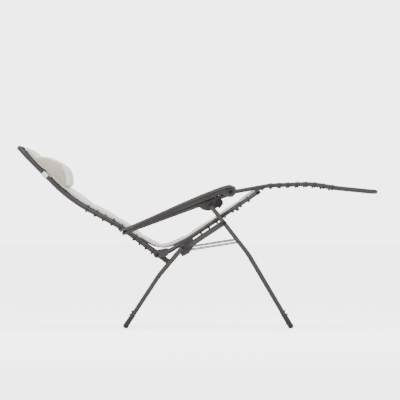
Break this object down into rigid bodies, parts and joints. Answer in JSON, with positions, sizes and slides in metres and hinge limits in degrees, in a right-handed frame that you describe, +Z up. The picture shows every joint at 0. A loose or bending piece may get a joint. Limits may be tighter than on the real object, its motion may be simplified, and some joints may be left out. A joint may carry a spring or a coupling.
{
  "type": "zero gravity recliner",
  "caption": "Folding zero gravity recliner: crossed tubular legs, hinged seat, back and leg rest, padded laced sling, armrests with cam locks, sliding head pillow.",
  "frame": {"origin": "on the floor, midway between the sides and under the middle of the chair's length", "axes": "+X from the head to the feet, +Y to the sitter's left, +Z up"},
  "size_m": [1.649, 0.692, 0.8335],
  "materials": {
    "leg_paint": "satin taupe grey powder coat",
    "frame_paint": "satin taupe grey powder coat",
    "plate_paint": "satin powder coat",
    "shoe_plastic": "moulded grey",
    "black_plastic": "moulded black",
    "bolt_steel": "blackened",
    "wire_steel": "dark coated wire",
    "arm_plastic": "fine-grained moulded grey",
    "lock_plastic": "moulded dark grey",
    "lever_plastic": "semi-gloss black",
    "sling_fabric": "padded woven, cream",
    "clip_plastic": "moulded dark",
    "pillow_fabric": "padded woven, cream with tan shade",
    "elastic_white": "woven elastic, white",
    "trim_fabric": "woven binding, black"
  },
  "bodies": {
    "rear_legs": {"rear_leg_frame": "leg_paint", "rear_feet": "shoe_plastic", "rear_link_bars": "leg_paint", "rear_leg_gussets": "plate_paint", "rear_loop_studs": "bolt_steel", "rear_leg_plugs": "black_plastic", "seat_pivot_bolts": "bolt_steel"},
    "front_legs": {"front_leg_frame": "leg_paint", "front_feet": "shoe_plastic", "crossing_bolts": "bolt_steel", "crossing_spacers": "black_plastic", "front_loop_studs": "bolt_steel", "front_leg_plugs": "black_plastic"},
    "lock_pivots": {"lock_pivot_bolts": "bolt_steel"},
    "locks": {"lock_housing_left": "lock_plastic", "lock_housing_right": "lock_plastic", "lever_pins": "bolt_steel"},
    "lever_left": {"lock_lever_left": "lever_plastic"},
    "lever_right": {"lock_lever_right": "lever_plastic"},
    "seat": {"seat_rail_left": "frame_paint", "seat_rail_right": "frame_paint", "seat_front_crossbar": "frame_paint", "seat_rear_crossbar": "frame_paint", "seat_pivot_brackets": "plate_paint", "back_hinge_plates": "plate_paint", "seat_rail_plugs": "black_plastic", "seat_sling": "sling_fabric", "seat_clips": "clip_plastic"},
    "back_pivots": {"back_pivot_bolts": "bolt_steel", "hip_sling": "sling_fabric"},
    "back": {"back_frame": "frame_paint", "back_lower_crossbar": "frame_paint", "back_frame_plugs": "black_plastic", "back_sling": "sling_fabric", "back_clips": "clip_plastic", "arm_rear_spacers": "black_plastic", "top_trim": "trim_fabric"},
    "arm_pivots": {"arm_rear_bolts": "bolt_steel"},
    "armrests": {"armrest_cap_left": "arm_plastic", "armrest_cap_right": "arm_plastic", "armrest_bracket_left": "arm_plastic", "armrest_bracket_right": "arm_plastic", "arm_rail_left": "frame_paint", "arm_rail_right": "frame_paint", "arm_front_bolts": "bolt_steel"},
    "knee_pivots": {"knee_pivot_bolts": "bolt_steel", "knee_sling": "sling_fabric"},
    "leg_rest": {"leg_rest_frame": "frame_paint", "knee_brackets": "plate_paint", "arm_front_spacers": "black_plastic", "leg_rest_plugs": "black_plastic", "leg_rest_sling": "sling_fabric", "leg_rest_clips": "clip_plastic"},
    "stay_loops": {"stay_loop_left": "wire_steel", "stay_loop_right": "wire_steel"},
    "headrest": {"head_pillow": "pillow_fabric", "pillow_strap": "elastic_white"}
  },
  "joints": [
    {"name": "fold", "type": "hinge", "parent": "rear_legs", "child": "front_legs", "pos_m": [0.121, 0, 0.481], "axis": [0, 1, 0], "range_deg": [0, 57]},
    {"name": "recline", "type": "hinge", "parent": "rear_legs", "child": "seat", "pos_m": [-0.066, 0, 0.37], "axis": [0, -1, 0], "range_deg": [-16.58, 0]},
    {"name": "back_recline", "type": "hinge", "parent": "seat", "child": "back_pivots", "pos_m": [-0.184, 0, 0.337], "axis": [0, -1, 0], "range_deg": [-18.01, 0], "deforming": ["hip_sling"]},
    {"name": "back_fold", "type": "hinge", "parent": "back_pivots", "child": "back", "pos_m": [-0.184, 0, 0.337], "axis": [0, -1, 0], "range_deg": [-80.07, 0]},
    {"name": "knee_recline", "type": "hinge", "parent": "seat", "child": "knee_pivots", "pos_m": [0.273, 0, 0.619], "axis": [0, -1, 0], "range_deg": [-37.91, 0], "deforming": ["knee_sling"]},
    {"name": "leg_rest_fold", "type": "hinge", "parent": "knee_pivots", "child": "leg_rest", "pos_m": [0.273, 0, 0.619], "axis": [0, -1, 0], "range_deg": [-143.97, 0]},
    {"name": "arm_fold", "type": "hinge", "parent": "back", "child": "arm_pivots", "pos_m": [-0.33, 0, 0.445], "axis": [0, -1, 0], "range_deg": [0, 81.93]},
    {"name": "arm_recline", "type": "hinge", "parent": "arm_pivots", "child": "armrests", "pos_m": [-0.33, 0, 0.445], "axis": [0, -1, 0], "range_deg": [0, 22.23]},
    {"name": "lock_fold", "type": "hinge", "parent": "front_legs", "child": "lock_pivots", "pos_m": [0.057, 0, 0.563], "axis": [0, -1, 0], "range_deg": [0, 58.87]},
    {"name": "lock_recline", "type": "hinge", "parent": "lock_pivots", "child": "locks", "pos_m": [0.057, 0, 0.563], "axis": [0, -1, 0], "range_deg": [-12.37, 0]},
    {"name": "stay_loop_swing", "type": "hinge", "parent": "rear_legs", "child": "stay_loops", "pos_m": [-0.043, 0, 0.362], "axis": [0, -1, 0], "range_deg": [0, 1.8]},
    {"name": "lever_left_turn", "type": "hinge", "parent": "locks", "child": "lever_left", "pos_m": [0.095, 0, 0.572], "axis": [0, -1, 0], "range_deg": [0, 60]},
    {"name": "lever_right_turn", "type": "hinge", "parent": "locks", "child": "lever_right", "pos_m": [0.095, 0, 0.572], "axis": [0, -1, 0], "range_deg": [0, 60]},
    {"name": "pillow_slide", "type": "slide", "parent": "back", "child": "headrest", "axis": [-0.7041, 0, 0.7101], "range_m": [-0.02, 0.03]}
  ],
  "couplings": [
    {"joint": "back_recline", "follows": "recline", "ratio": 1.0857},
    {"joint": "back_fold", "follows": "fold", "ratio": -1.4046},
    {"joint": "knee_recline", "follows": "recline", "ratio": 2.2859},
    {"joint": "leg_rest_fold", "follows": "fold", "ratio": -2.5256},
    {"joint": "arm_fold", "follows": "fold", "ratio": 1.4372},
    {"joint": "arm_recline", "follows": "recline", "ratio": -1.3402},
    {"joint": "lock_fold", "follows": "fold", "ratio": 1.0326},
    {"joint": "lock_recline", "follows": "recline", "ratio": 0.74548},
    {"joint": "stay_loop_swing", "follows": "fold", "ratio": 0.0314}
  ]
}
